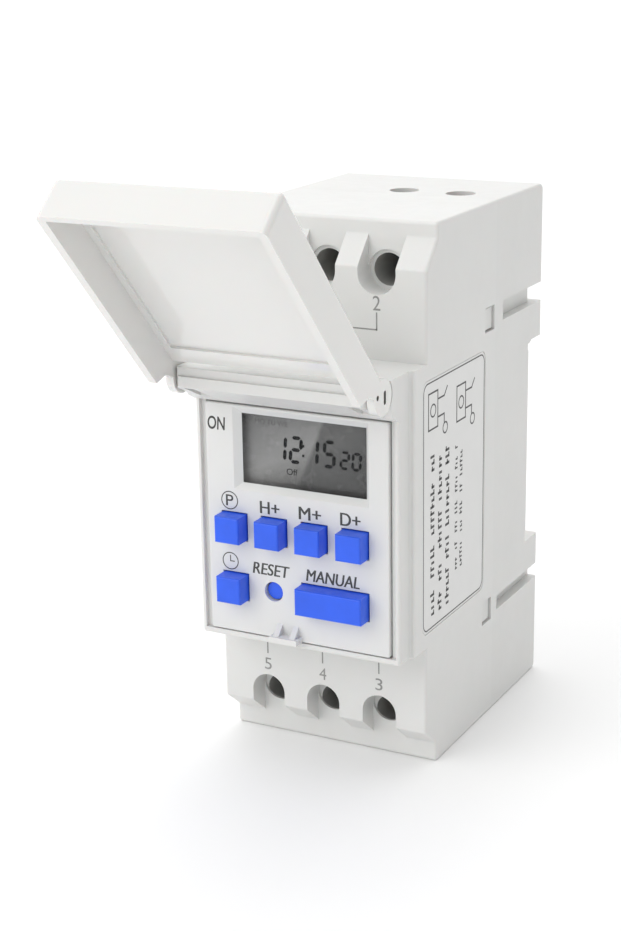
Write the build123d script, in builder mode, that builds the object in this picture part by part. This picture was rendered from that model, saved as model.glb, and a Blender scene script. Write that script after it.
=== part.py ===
from build123d import *
from math import cos, radians, sin
import os

# Two-module weekly timer for a 35 mm DIN rail, with a flip cover over its display and buttons.
# Millimetres. X runs to the user's right, Y to the back, Z up. The origin is the centre of the
# face that seats on the rail, so the rail side is +Y and the buttons are at the -Y end.
os.makedirs("parts", exist_ok=True)

# ---------------------------------------------------------------- driving dimensions
# housing outline
HALF_WIDTH = 18.0
HALF_HEIGHT = 43.0
REAR_Y = 5.6
REAR_CORNER_RADIUS = 1.0
PARTING_Y = -14.7
BAND_Y = -37.5
SHOULDER_Y = -41.4
STEP_Y = -45.7
FACE_Y = -49.2
UPPER_BAND_Z = 40.6
UPPER_SHOULDER_Z = 36.4
LOWER_BAND_Z = -39.7
LOWER_SHOULDER_Z = -36.6
BLOCK_HALF_WIDTH = 17.2
BLOCK_HALF_HEIGHT = 22.5
WALL = 1.7
EDGE_RADIUS = 0.6

# hood and flip cover hinge
HINGE_Y = -54.5
HINGE_Z = 20.6
HOOD_HALF_WIDTH = 15.7
HOOD_ROOT_Z = 15.7
HOOD_TIP_Y = -57.5
HOOD_TIP_Z = 19.6
HOOD_STEP_Z = 21.2
KNUCKLE_RADIUS = 2.7
PEG_RADIUS = 0.9
PEG_CLEARANCE = 0.05
PEG_END_X = 14.3

# flip cover, measured along it from the hinge (L) and outward from the hinge (N)
COVER_OPEN = 137.6
COVER_LENGTH = 43.4
COVER_START = 3.9
COVER_OUTSIDE = 1.8
COVER_INSIDE = -0.1
COVER_FIELD = 0.3
COVER_RIM = -5.1
COVER_WALL = 1.3
COVER_END_WALL = 1.0

# terminals
PITCH = 9.9
UPPER_TERMINAL_Z = 35.4
LOWER_TERMINAL_Z = -35.8
LOWER_CHANNEL_Z = -34.5
ACCESS_RADIUS = 2.5
UPPER_CHANNEL_RADIUS = 3.1
LOWER_CHANNEL_RADIUS = 2.9
CHANNEL_FLOOR_Y = BAND_Y + 0.6
WIRE_RADIUS = 2.4
WIRE_Y = -10.2
END_WALL_Z = 40.4
TERMINALS = {
    1: (0.0, UPPER_TERMINAL_Z),
    2: (PITCH, UPPER_TERMINAL_Z),
    3: (PITCH, LOWER_TERMINAL_Z),
    4: (0.0, LOWER_TERMINAL_Z),
    5: (-PITCH, LOWER_TERMINAL_Z),
}
HEAD_RADIUS = 2.25
HEAD_FRONT_Y = -26.0
HEAD_BACK_Y = -23.4
COLLAR_BACK_Y = -22.5
SHANK_RADIUS = 1.6
SHANK_END_Y = -15.0
CAGE_FRONT_Y = -18.2
CAGE_BACK_Y = -6.4
CAGE_HALF_X = 4.0
CAGE_HALF_Z = 3.4

# front panel and what shows through it
PANEL_HALF_WIDTH = 15.5
PANEL_GAP = 0.15
BORDER_WIDTH = 0.85
BORDER_DEPTH = 0.7
PANEL_TOP_Z = 15.4
PANEL_BOTTOM_Z = -21.4
LEDGE_Y = -46.5
WINDOW_X = 1.0
WINDOW_Z = 8.5
WINDOW_SIZE = (21.0, 11.0)
BEVEL_DEPTH = 0.8
BUTTON = 4.2
BUTTON_FRONT_Y = -52.0
BUTTON_GAP = 0.2
FLANGE_FRONT_Y = -46.3
FLANGE_BACK_Y = -45.7
FLANGE_LIP = 0.7
UPPER_ROW_Z = -4.0
LOWER_ROW_Z = -13.8
BUTTONS = {
    "program": (-10.8, UPPER_ROW_Z, BUTTON),
    "hour": (-3.9, UPPER_ROW_Z, BUTTON),
    "minute": (3.0, UPPER_ROW_Z, BUTTON),
    "day": (9.9, UPPER_ROW_Z, BUTTON),
    "clock": (-10.8, LOWER_ROW_Z, BUTTON),
    "manual": (6.4, LOWER_ROW_Z, 11.2),
}
RESET_X = -4.2
RESET_RADIUS = 1.4
RESET_FRONT_Y = -48.5
LATCH_X = -1.8

# boards and the switches behind the buttons
BOARD = 1.2
DISPLAY_BOARD_Y = -43.4
POWER_BOARD_Y = -13.0
POWER_BOARD_HALF_X = 15.0
POWER_BOARD_HALF_Z = 21.0
SWITCH_FRONT_Y = -44.9
SWITCH = 5.0
PLUNGER_RADIUS = 0.85
PLUNGER_BACK_Y = -44.0
BOARD_SCREW_X = 13.4
BOARD_SCREW_Z = 19.4
DISPLAY_SCREW_X = 12.5
DISPLAY_SCREW_Z = 18.3

# rail clip
RAIL_HALF = 17.5
SEAT_HALF = 15.9
HOOK_TIP_Z = 16.4
HOOK_FRONT_Y = 1.4
HOOK_BACK_Y = 2.9
CLIP_Y = (2.4, 4.8)
CLIP_HALF_WIDTH = 4.4
CLIP_FLANGE = 6.8
CLIP_END_Z = -42.6
CLIP_GAP = 0.2
LUG_TOP_Z = -32.0
SPRING_TOP_Z = -23.0
SPRING_RADIUS = 0.95
SPRING_WIRE = 0.19
SPRING_TURNS = 6


def facing(y):
    """The plane across the timer at depth y, which faces the user."""
    return Plane.XZ.offset(-y)


def slab(x, y, z, mode=Mode.ADD):
    """A block between two limits on each axis."""
    with BuildSketch(facing(max(y))) as outline:
        with Locations(((x[0] + x[1]) / 2, (z[0] + z[1]) / 2)):
            Rectangle(abs(x[1] - x[0]), abs(z[1] - z[0]))
    extrude(outline.sketch, amount=max(y) - min(y), mode=mode)


def rod(x, z, radius, y, mode=Mode.ADD):
    """A cylinder along Y between two depths."""
    with BuildSketch(facing(max(y))) as outline:
        with Locations((x, z)):
            Circle(radius)
    extrude(outline.sketch, amount=max(y) - min(y), mode=mode)


def side_profile(points, x_from, x_to, mode=Mode.ADD):
    """A block with a (y, z) outline, between two limits on X."""
    with BuildSketch(Plane.YZ.offset(min(x_from, x_to))) as outline:
        with BuildLine():
            Polyline(*points, close=True)
        make_face()
    extrude(outline.sketch, amount=abs(x_to - x_from), mode=mode)


def disc(y, z, radius, x_from, x_to, mode=Mode.ADD):
    """A cylinder along X between two limits."""
    with BuildSketch(Plane.YZ.offset(min(x_from, x_to))) as outline:
        with Locations((y, z)):
            Circle(radius)
    extrude(outline.sketch, amount=abs(x_to - x_from), mode=mode)


def upright(x, y, radius, z_from, z_to, mode=Mode.ADD):
    """A cylinder along Z between two limits."""
    with BuildSketch(Plane.XY.offset(min(z_from, z_to))) as outline:
        with Locations((x, y)):
            Circle(radius)
    extrude(outline.sketch, amount=abs(z_to - z_from), mode=mode)


def save(piece, name):
    """Name the piece and write it out."""
    piece.part.label = name
    export_step(piece.part, "parts/" + name + ".step")


# ---------------------------------------------------------------- front housing
with BuildPart() as front_housing:
    # shoulders, with the slanted faces that lead in to the terminals
    with BuildSketch(Plane.YZ) as shoulders:
        with BuildLine():
            Polyline(
                (PARTING_Y, -HALF_HEIGHT),
                (BAND_Y, -HALF_HEIGHT),
                (BAND_Y, LOWER_BAND_Z),
                (SHOULDER_Y, LOWER_SHOULDER_Z),
                (SHOULDER_Y, UPPER_SHOULDER_Z),
                (BAND_Y, UPPER_BAND_Z),
                (BAND_Y, HALF_HEIGHT),
                (PARTING_Y, HALF_HEIGHT),
                close=True,
            )
        make_face()
        fillet(shoulders.vertices().filter_by_position(Axis.X, SHOULDER_Y - 1, BAND_Y + 1), EDGE_RADIUS)
    extrude(amount=HALF_WIDTH, both=True)
    side_edges = front_housing.faces().filter_by(Axis.X).edges()
    fillet(side_edges.filter_by_position(Axis.Y, SHOULDER_Y - 1, PARTING_Y - 1), EDGE_RADIUS - 0.1)

    # front block: full width behind the step, narrower in front of it
    with BuildSketch(Plane.XY.offset(-BLOCK_HALF_HEIGHT)) as block:
        with BuildLine():
            Polyline(
                (-HALF_WIDTH, SHOULDER_Y + 2),
                (-HALF_WIDTH, STEP_Y),
                (-BLOCK_HALF_WIDTH, STEP_Y),
                (-BLOCK_HALF_WIDTH, FACE_Y),
                (BLOCK_HALF_WIDTH, FACE_Y),
                (BLOCK_HALF_WIDTH, STEP_Y),
                (HALF_WIDTH, STEP_Y),
                (HALF_WIDTH, SHOULDER_Y + 2),
                close=True,
            )
        make_face()
        fillet(block.vertices().group_by(Axis.Y)[0], EDGE_RADIUS - 0.1)
        fillet(block.vertices().filter_by_position(Axis.Y, STEP_Y - 0.1, STEP_Y + 0.1), 0.35)
    extrude(amount=2 * BLOCK_HALF_HEIGHT)
    block_ends = front_housing.edges().filter_by_position(Axis.Y, FACE_Y - 1, SHOULDER_Y - 1)
    fillet(block_ends.filter_by_position(Axis.Z, -BLOCK_HALF_HEIGHT - 0.1, -BLOCK_HALF_HEIGHT + 0.1), 0.4)

    # hood over the panel, narrower than the block so that the cover's arms pass outside it
    with BuildSketch(Plane.XY.offset(HOOD_ROOT_Z)) as hood:
        with Locations((0, (HOOD_TIP_Y + STEP_Y + 1) / 2)):
            Rectangle(2 * HOOD_HALF_WIDTH, STEP_Y + 1 - HOOD_TIP_Y)
        fillet(hood.vertices().group_by(Axis.Y)[0], 1.5)
    extrude(hood.sketch, amount=BLOCK_HALF_HEIGHT - HOOD_ROOT_Z)
    under_hood = [
        (FACE_Y, HOOD_ROOT_Z),
        (HOOD_TIP_Y, HOOD_TIP_Z),
        (HOOD_TIP_Y - 1, HOOD_TIP_Z),
        (HOOD_TIP_Y - 1, HOOD_ROOT_Z - 1),
        (FACE_Y, HOOD_ROOT_Z - 1),
    ]
    side_profile(under_hood, -HOOD_HALF_WIDTH - 0.1, HOOD_HALF_WIDTH + 0.1, Mode.SUBTRACT)
    slab((-16, 16), (HOOD_TIP_Y - 1, HOOD_TIP_Y + 0.4), (HOOD_STEP_Z, BLOCK_HALF_HEIGHT + 1), Mode.SUBTRACT)

    # block sides beside the hood, scooped out around the cover's knuckles
    cheek = [
        (STEP_Y + 1, HOOD_ROOT_Z),
        (FACE_Y, HOOD_ROOT_Z),
        (HINGE_Y + 3.3, HINGE_Z - 3.9),
        (HINGE_Y + 2.6, HINGE_Z - 2.4),
        (HINGE_Y + 1.9, BLOCK_HALF_HEIGHT),
        (STEP_Y + 1, BLOCK_HALF_HEIGHT),
    ]
    for side in (-1, 1):
        side_profile(cheek, side * (HOOD_HALF_WIDTH - 0.5), side * BLOCK_HALF_WIDTH)
        knuckle_space = side * HOOD_HALF_WIDTH
        disc(HINGE_Y, HINGE_Z, KNUCKLE_RADIUS + 0.3, knuckle_space, knuckle_space + side * 2, Mode.SUBTRACT)
        disc(
            HINGE_Y,
            HINGE_Z,
            PEG_RADIUS + PEG_CLEARANCE,
            side * (HOOD_HALF_WIDTH - 1.4),
            side * (HOOD_HALF_WIDTH + 1),
            Mode.SUBTRACT,
        )
        pocket = [
            (HINGE_Y - 2.4, HINGE_Z - 3),
            (HINGE_Y - 2.4, HINGE_Z + 0.9),
            (HINGE_Y + 2.4, HINGE_Z + 0.9),
            (HINGE_Y + 2.4, HINGE_Z - 5),
        ]
        side_profile(pocket, side * 12.6, side * 14.4, Mode.SUBTRACT)

    # shallow border around the panel, its seat, and the opening behind it
    panel_z = (PANEL_BOTTOM_Z - PANEL_GAP, HOOD_ROOT_Z)
    seat_half = PANEL_HALF_WIDTH + PANEL_GAP
    border_half = seat_half + BORDER_WIDTH
    slab((-border_half, border_half), (FACE_Y + BORDER_DEPTH, FACE_Y - 1), panel_z, Mode.SUBTRACT)
    slab((-seat_half, seat_half), (LEDGE_Y, FACE_Y), panel_z, Mode.SUBTRACT)
    slab((-14.2, 14.2), (LEDGE_Y + 1.6, FACE_Y), (-20.2, 15.4), Mode.SUBTRACT)

    # hollow inside: behind the panel, behind the shoulders, and the main space
    slab((-16.0, 16.0), (SHOULDER_Y + 2, LEDGE_Y + 1.5), (-21.0, 21.0), Mode.SUBTRACT)
    slab((-16.3, 16.3), (BAND_Y + 2, SHOULDER_Y + WALL), (-29.9, 31.1), Mode.SUBTRACT)
    slab((-16.3, 16.3), (PARTING_Y, BAND_Y + WALL), (-41.3, 41.3), Mode.SUBTRACT)

    # screwdriver wells: a tube behind each access hole, with a collar that holds the screw's head
    for x, z in TERMINALS.values():
        rod(x, z, ACCESS_RADIUS + 1.3, (COLLAR_BACK_Y, BAND_Y + 1.7))
        rod(x, z, ACCESS_RADIUS, (HEAD_BACK_Y + 0.2, CHANNEL_FLOOR_Y - 0.1), Mode.SUBTRACT)
        rod(x, z, SHANK_RADIUS + 0.08, (COLLAR_BACK_Y + 1, HEAD_BACK_Y), Mode.SUBTRACT)

        # channel across the slanted face, open towards the end of the timer
        if z > 0:
            channel_z, radius, end_z = z, UPPER_CHANNEL_RADIUS, UPPER_BAND_Z + 0.4
        else:
            channel_z, radius, end_z = LOWER_CHANNEL_Z, LOWER_CHANNEL_RADIUS, LOWER_BAND_Z - 0.4
        rod(x, channel_z, radius, (CHANNEL_FLOOR_Y, SHOULDER_Y - 1), Mode.SUBTRACT)
        slab((x - radius, x + radius), (BAND_Y, SHOULDER_Y - 1), (channel_z, end_z), Mode.SUBTRACT)

    # posts for the display board's screws
    for side in (-1, 1):
        rod(side * DISPLAY_SCREW_X, DISPLAY_SCREW_Z, 1.6, (DISPLAY_BOARD_Y, LEDGE_Y))
        rod(side * DISPLAY_SCREW_X, DISPLAY_SCREW_Z, 0.8, (DISPLAY_BOARD_Y, LEDGE_Y - 0.6), Mode.SUBTRACT)

    # windows that the rear base snaps into, and the shallow seat of the side label
    for side in (-1, 1):
        for z in (-24.6, 24.6):
            slab(
                (side * 16.0, side * (HALF_WIDTH + 1)),
                (PARTING_Y - 0.5, PARTING_Y - 4.3),
                (z - 2.0, z + 2.0),
                Mode.SUBTRACT,
            )
    with BuildSketch(Plane.YZ.offset(HALF_WIDTH - 0.15)) as label_seat:
        with Locations((-30.75, 0)):
            RectangleRounded(24.1, 40.1, 1.6)
    extrude(label_seat.sketch, amount=1, mode=Mode.SUBTRACT)
save(front_housing, "front_housing")

# ---------------------------------------------------------------- rear base
with BuildPart() as rear_base:
    with BuildSketch(Plane.YZ) as base_outline:
        with Locations(((PARTING_Y + REAR_Y) / 2, 0)):
            Rectangle(REAR_Y - PARTING_Y, 2 * HALF_HEIGHT)
        fillet(base_outline.vertices().group_by(Axis.X)[-1], REAR_CORNER_RADIUS)
    extrude(amount=HALF_WIDTH, both=True)
    long_sides = rear_base.faces().filter_by(Axis.X).edges()
    fillet(long_sides.filter_by_position(Axis.Y, PARTING_Y + 0.5, REAR_Y + 0.1), EDGE_RADIUS - 0.1)

    # recess that takes the rail, the seat standing 0.3 mm proud between two relief strips
    slab((-18.5, 18.5), (0.0, REAR_Y + 1), (-RAIL_HALF - 0.3, RAIL_HALF), Mode.SUBTRACT)
    slab((-18.5, 18.5), (-0.3, 0.0), (-RAIL_HALF - 0.3, -SEAT_HALF), Mode.SUBTRACT)
    slab((-18.5, 18.5), (-0.3, 0.0), (SEAT_HALF, RAIL_HALF), Mode.SUBTRACT)

    # inside, deeper at both ends than behind the rail
    slab((-16.3, 16.3), (PARTING_Y, -2.0), (-END_WALL_Z, END_WALL_Z), Mode.SUBTRACT)
    slab((-14.5, 14.5), (-2.0, 3.2), (28.5, END_WALL_Z), Mode.SUBTRACT)

    # thicker walls behind the side grooves, carrying the snap arms
    for side in (-1, 1):
        for z in (-24.6, 24.6):
            slab((side * 14.6, side * 16.5), (PARTING_Y, -2.0), (z - 2.6, z + 2.6))
            slab((side * 14.6, side * 16.1), (PARTING_Y + 1, PARTING_Y - 4.6), (z - 1.7, z + 1.7))
            barb = [
                (PARTING_Y - 4.2, z - 1.7),
                (PARTING_Y - 4.2, z + 1.7),
                (PARTING_Y - 0.8, z + 1.7),
                (PARTING_Y - 0.8, z - 1.7),
            ]
            side_profile(barb, side * 16.0, side * (HALF_WIDTH - 0.4))
        slab((side * 16.4, side * 18.5), (-11.7, REAR_Y + 1), (23.4, 26.6), Mode.SUBTRACT)
        slab((side * 16.4, side * 18.5), (-12.8, REAR_Y + 1), (-25.8, -23.3), Mode.SUBTRACT)
    slab((-18.5, 18.5), (REAR_Y - 2.4, REAR_Y + 1), (23.4, 26.6), Mode.SUBTRACT)

    # partitions between the terminals, and the ends' wire entries
    for side in (-1, 1):
        slab((side * 4.5, side * 5.4), (PARTING_Y, -1.9), (30.5, END_WALL_Z + 0.1))
        slab((side * 4.5, side * 5.4), (PARTING_Y, -1.9), (-END_WALL_Z - 0.1, -29.5))
    for x, z in TERMINALS.values():
        end = HALF_HEIGHT if z > 0 else -HALF_HEIGHT
        upright(x, WIRE_Y, WIRE_RADIUS, end * 0.9, end * 1.05, Mode.SUBTRACT)

    # posts for the power board
    for x in (-BOARD_SCREW_X, BOARD_SCREW_X):
        for z in (-BOARD_SCREW_Z, BOARD_SCREW_Z):
            rod(x, z, 2.0, (-1.9, POWER_BOARD_Y + BOARD))
            rod(x, z, 0.8, (-5.0, POWER_BOARD_Y), Mode.SUBTRACT)

    # fixed hook over the rail's top edge
    for x_from, x_to in ((-17.0, -4.0), (4.0, 17.0)):
        lip = [
            (HOOK_FRONT_Y, RAIL_HALF + 0.2),
            (HOOK_FRONT_Y, HOOK_TIP_Z),
            (HOOK_BACK_Y, HOOK_TIP_Z),
            (REAR_Y, RAIL_HALF + 0.2),
        ]
        side_profile(lip, x_from, x_to)

    # channel for the rail slider, with the lug that its spring pushes on
    slider_top = -RAIL_HALF - 0.2
    clear_y = CLIP_Y[0] - CLIP_GAP
    web = CLIP_HALF_WIDTH + CLIP_GAP
    flange = CLIP_FLANGE + CLIP_GAP
    slab((-web, web), (clear_y, REAR_Y + 1), (-44, slider_top), Mode.SUBTRACT)
    slab((-web, web), (HOOK_FRONT_Y - CLIP_GAP, REAR_Y + 1), (-21.5, slider_top), Mode.SUBTRACT)
    slab((-flange, flange), (clear_y, CLIP_Y[0] + 1.0 + CLIP_GAP), (-38.7, -21.5), Mode.SUBTRACT)
    slab((-1.8, 1.8), (clear_y - 0.2, CLIP_Y[1] - 0.2), (LUG_TOP_Z - 2.0, LUG_TOP_Z))
save(rear_base, "rear_base")

# ---------------------------------------------------------------- rail slider and its spring
with BuildPart() as din_slider:
    slab((-CLIP_HALF_WIDTH, CLIP_HALF_WIDTH), CLIP_Y, (CLIP_END_Z, -20.0))
    slab((-CLIP_FLANGE, CLIP_FLANGE), (CLIP_Y[0], CLIP_Y[0] + 1.0), (-35.2, -24.0))
    hook = [
        (CLIP_Y[1], -21.0),
        (CLIP_Y[0], -21.0),
        (CLIP_Y[0], -18.3),
        (HOOK_FRONT_Y, -18.0),
        (HOOK_FRONT_Y, -HOOK_TIP_Z),
        (HOOK_BACK_Y, -HOOK_TIP_Z),
        (CLIP_Y[1], -18.4),
    ]
    side_profile(hook, -CLIP_HALF_WIDTH, CLIP_HALF_WIDTH)
    slab((-2.0, 2.0), (1, 6), (LUG_TOP_Z - 2.3, SPRING_TOP_Z), Mode.SUBTRACT)
    with BuildSketch(facing(CLIP_Y[1])) as pull_slot:
        with Locations((0, -40.0)):
            SlotOverall(5.0, 1.6)
    extrude(pull_slot.sketch, amount=3, mode=Mode.SUBTRACT)
    for z in (-36.4, -37.4, -38.4):
        slab((-3.4, 3.4), (CLIP_Y[1] - 0.3, CLIP_Y[1] + 1), (z - 0.25, z + 0.25), Mode.SUBTRACT)
save(din_slider, "din_slider")

with BuildPart() as slider_spring:
    spring_height = SPRING_TOP_Z - LUG_TOP_Z - 2 * SPRING_WIRE - 0.1
    spring_y = (CLIP_Y[0] + CLIP_Y[1]) / 2
    with BuildLine() as coil:
        Helix(
            pitch=spring_height / SPRING_TURNS,
            height=spring_height,
            radius=SPRING_RADIUS,
            center=(0, spring_y, LUG_TOP_Z + SPRING_WIRE + 0.05),
        )
    with BuildSketch(Plane(origin=coil.line @ 0, z_dir=coil.line % 0)) as wire_section:
        Circle(SPRING_WIRE)
    sweep(wire_section.sketch, path=coil.line, is_frenet=True)
save(slider_spring, "slider_spring")

# ---------------------------------------------------------------- front panel and window
with BuildPart() as front_panel:
    slab((-PANEL_HALF_WIDTH, PANEL_HALF_WIDTH), (LEDGE_Y, FACE_Y), (PANEL_BOTTOM_Z, PANEL_TOP_Z))
    fillet(front_panel.edges().filter_by(Axis.Y), 0.4)
    fillet(front_panel.faces().sort_by(Axis.Y)[0].edges(), 0.25)

    # display opening with sloping edges, and the seat of the window behind it
    with BuildSketch(facing(FACE_Y)) as bevel_front:
        with Locations((WINDOW_X - 0.25, WINDOW_Z)):
            Rectangle(WINDOW_SIZE[0] + 1.9, WINDOW_SIZE[1] + 2.0)
    with BuildSketch(facing(FACE_Y + BEVEL_DEPTH)) as bevel_back:
        with Locations((WINDOW_X, WINDOW_Z)):
            Rectangle(*WINDOW_SIZE)
    loft(Sketch() + [bevel_front.sketch, bevel_back.sketch], mode=Mode.SUBTRACT)
    slab(
        (WINDOW_X - 11.5, WINDOW_X + 11.5),
        (LEDGE_Y, FACE_Y + BEVEL_DEPTH),
        (WINDOW_Z - 6.4, WINDOW_Z + 6.4),
        Mode.SUBTRACT,
    )

    # button openings
    for x, z, width in BUTTONS.values():
        half = width / 2 + BUTTON_GAP
        slab(
            (x - half, x + half),
            (LEDGE_Y, FACE_Y),
            (z - BUTTON / 2 - BUTTON_GAP, z + BUTTON / 2 + BUTTON_GAP),
            Mode.SUBTRACT,
        )
    rod(RESET_X, LOWER_ROW_Z, RESET_RADIUS + BUTTON_GAP, (LEDGE_Y, FACE_Y), Mode.SUBTRACT)

    # latch tab that the closed cover snaps over, with two ribs above it
    latch_y = FACE_Y - 2.0
    slab((LATCH_X - 2.4, LATCH_X + 2.4), (FACE_Y + 1, latch_y), (PANEL_BOTTOM_Z, PANEL_BOTTOM_Z + 0.9))
    for offset in (-1.4, 1.4):
        rib_foot = PANEL_BOTTOM_Z + 0.5
        rib = [(FACE_Y + 1, -18.9), (FACE_Y, -18.9), (latch_y, rib_foot), (FACE_Y + 1, rib_foot)]
        side_profile(rib, LATCH_X + offset - 0.45, LATCH_X + offset + 0.45)
save(front_panel, "front_panel")

with BuildPart() as display_window:
    slab(
        (WINDOW_X - 11.4, WINDOW_X + 11.4),
        (FACE_Y + BEVEL_DEPTH, FACE_Y + BEVEL_DEPTH + 1.0),
        (WINDOW_Z - 6.3, WINDOW_Z + 6.3),
    )
save(display_window, "display_window")

# ---------------------------------------------------------------- flip cover, shown open


def cover_point(along, outward):
    """Where a point of the cover is, in Y and Z, with the cover open."""
    angle = radians(COVER_OPEN)
    y = HINGE_Y - along * sin(angle) - outward * cos(angle)
    z = HINGE_Z - along * cos(angle) + outward * sin(angle)
    return (y, z)


def cover_block(points, x_from, x_to, mode=Mode.ADD):
    """A block of the cover, its outline given along and outward from the hinge."""
    side_profile([cover_point(*point) for point in points], x_from, x_to, mode)


with BuildPart() as flip_cover:
    plate = [
        (COVER_START, COVER_INSIDE),
        (COVER_START, COVER_OUTSIDE),
        (COVER_LENGTH, COVER_OUTSIDE),
        (COVER_LENGTH, COVER_INSIDE),
    ]
    cover_block(plate, -BLOCK_HALF_WIDTH, BLOCK_HALF_WIDTH)
    arm = [
        (2.0, COVER_OUTSIDE),
        (COVER_LENGTH, COVER_OUTSIDE),
        (COVER_LENGTH, COVER_RIM),
        (5.2, COVER_RIM),
        (4.1, -2.9),
        (2.0, -1.8),
    ]
    end_wall = [
        (COVER_LENGTH - COVER_END_WALL, COVER_OUTSIDE),
        (COVER_LENGTH, COVER_OUTSIDE),
        (COVER_LENGTH, COVER_RIM),
        (COVER_LENGTH - COVER_END_WALL, COVER_RIM),
    ]
    cover_block(end_wall, -BLOCK_HALF_WIDTH, BLOCK_HALF_WIDTH)
    for side in (-1, 1):
        cover_block(arm, side * (BLOCK_HALF_WIDTH - COVER_WALL), side * BLOCK_HALF_WIDTH)
        wall_inside = side * (BLOCK_HALF_WIDTH - COVER_WALL)
        disc(HINGE_Y, HINGE_Z, KNUCKLE_RADIUS, wall_inside, side * BLOCK_HALF_WIDTH)
    outer_corner = cover_point(COVER_LENGTH, COVER_OUTSIDE)
    long_edge = flip_cover.edges().filter_by(Axis.X)
    long_edge = long_edge.filter_by_position(Axis.Y, outer_corner[0] - 0.05, outer_corner[0] + 0.05)
    fillet(long_edge.filter_by_position(Axis.Z, outer_corner[1] - 0.05, outer_corner[1] + 0.05), 1.0)
    rim_corner = cover_point(COVER_LENGTH, COVER_RIM)
    corner_edges = flip_cover.edges().filter_by(Plane.YZ)
    along_end = []
    for edge in corner_edges:
        middle = edge.center()
        expected = cover_point(COVER_LENGTH, (COVER_RIM + COVER_OUTSIDE - 1.0) / 2)
        near = abs(middle.Y - expected[0]) < 0.4 and abs(middle.Z - expected[1]) < 0.4
        if near and abs(middle.X) > BLOCK_HALF_WIDTH - 0.1:
            along_end.append(edge)
    fillet(along_end, 1.0)

    # shallow field inside, pegs, and the moulded slot and dot on each knuckle
    field = [
        (7.3, COVER_INSIDE - 0.1),
        (7.3, COVER_FIELD),
        (COVER_LENGTH - 2.7, COVER_FIELD),
        (COVER_LENGTH - 2.7, COVER_INSIDE - 0.1),
    ]
    cover_block(field, -14.7, 14.7, Mode.SUBTRACT)
    for side in (-1, 1):
        disc(HINGE_Y, HINGE_Z, PEG_RADIUS, side * PEG_END_X, side * (BLOCK_HALF_WIDTH - 0.5))
        with BuildSketch(Plane.YZ.offset(side * (BLOCK_HALF_WIDTH - 0.4))) as knuckle_marks:
            with Locations((HINGE_Y + 0.5, HINGE_Z - 0.1)):
                SlotOverall(2.1, 0.8, rotation=90)
            with Locations((HINGE_Y - 1.85, HINGE_Z + 0.35)):
                Circle(0.4)
        extrude(knuckle_marks.sketch, amount=side * 1.0, mode=Mode.SUBTRACT)
save(flip_cover, "flip_cover")

# ---------------------------------------------------------------- buttons and their switch plungers


def push_button(name, x, z, width):
    """A square or bar-shaped button with a flange that keeps it behind the panel."""
    with BuildPart() as button:
        half = width / 2
        slab((x - half, x + half), (FLANGE_FRONT_Y, BUTTON_FRONT_Y), (z - BUTTON / 2, z + BUTTON / 2))
        fillet(button.faces().sort_by(Axis.Y)[0].edges(), 0.3)
        half += FLANGE_LIP
        reach = BUTTON / 2 + FLANGE_LIP
        slab((x - half, x + half), (FLANGE_BACK_Y, FLANGE_FRONT_Y), (z - reach, z + reach))
    save(button, name + "_button")


def plunger(name, x, z):
    """The part of a tact switch that its button pushes."""
    with BuildPart() as stem:
        rod(x, z, PLUNGER_RADIUS, (PLUNGER_BACK_Y, FLANGE_BACK_Y))
    save(stem, name + "_switch_plunger")


for name, (x, z, width) in BUTTONS.items():
    push_button(name, x, z, width)
    plunger(name, x, z)
with BuildPart() as reset_button:
    rod(RESET_X, LOWER_ROW_Z, RESET_RADIUS, (FLANGE_FRONT_Y, RESET_FRONT_Y))
    rod(RESET_X, LOWER_ROW_Z, 2.2, (FLANGE_BACK_Y, FLANGE_FRONT_Y))
save(reset_button, "reset_button")
plunger("reset", RESET_X, LOWER_ROW_Z)

# ---------------------------------------------------------------- display board assembly
with BuildPart() as display_board:
    board_y = (DISPLAY_BOARD_Y, DISPLAY_BOARD_Y + BOARD)
    slab((-15.2, 15.2), board_y, (-20.4, 20.4))
    for side in (-1, 1):
        rod(side * DISPLAY_SCREW_X, DISPLAY_SCREW_Z, 1.1, board_y, Mode.SUBTRACT)
save(display_board, "display_board")

with BuildPart() as tact_switches:
    places = [(x, z) for x, z, width in BUTTONS.values()] + [(RESET_X, LOWER_ROW_Z)]
    for x, z in places:
        half = SWITCH / 2
        slab((x - half, x + half), (DISPLAY_BOARD_Y, SWITCH_FRONT_Y), (z - half, z + half))
        rod(x, z, PLUNGER_RADIUS + 0.1, (DISPLAY_BOARD_Y, SWITCH_FRONT_Y), Mode.SUBTRACT)
save(tact_switches, "tact_switches")

with BuildPart() as display_board_screws:
    for side in (-1, 1):
        back = DISPLAY_BOARD_Y + BOARD
        rod(side * DISPLAY_SCREW_X, DISPLAY_SCREW_Z, 1.8, (back, back + 1.2))
        rod(side * DISPLAY_SCREW_X, DISPLAY_SCREW_Z, 0.8, (back, LEDGE_Y))
        slab(
            (side * DISPLAY_SCREW_X - 1.3, side * DISPLAY_SCREW_X + 1.3),
            (back + 0.7, back + 1.3),
            (DISPLAY_SCREW_Z - 0.25, DISPLAY_SCREW_Z + 0.25),
            Mode.SUBTRACT,
        )
save(display_board_screws, "display_board_screws")

with BuildPart() as lcd_glass:
    slab((WINDOW_X - 11.2, WINDOW_X + 11.2), (-45.4, -47.2), (WINDOW_Z - 6.1, WINDOW_Z + 6.1))
save(lcd_glass, "lcd_glass")

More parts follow.
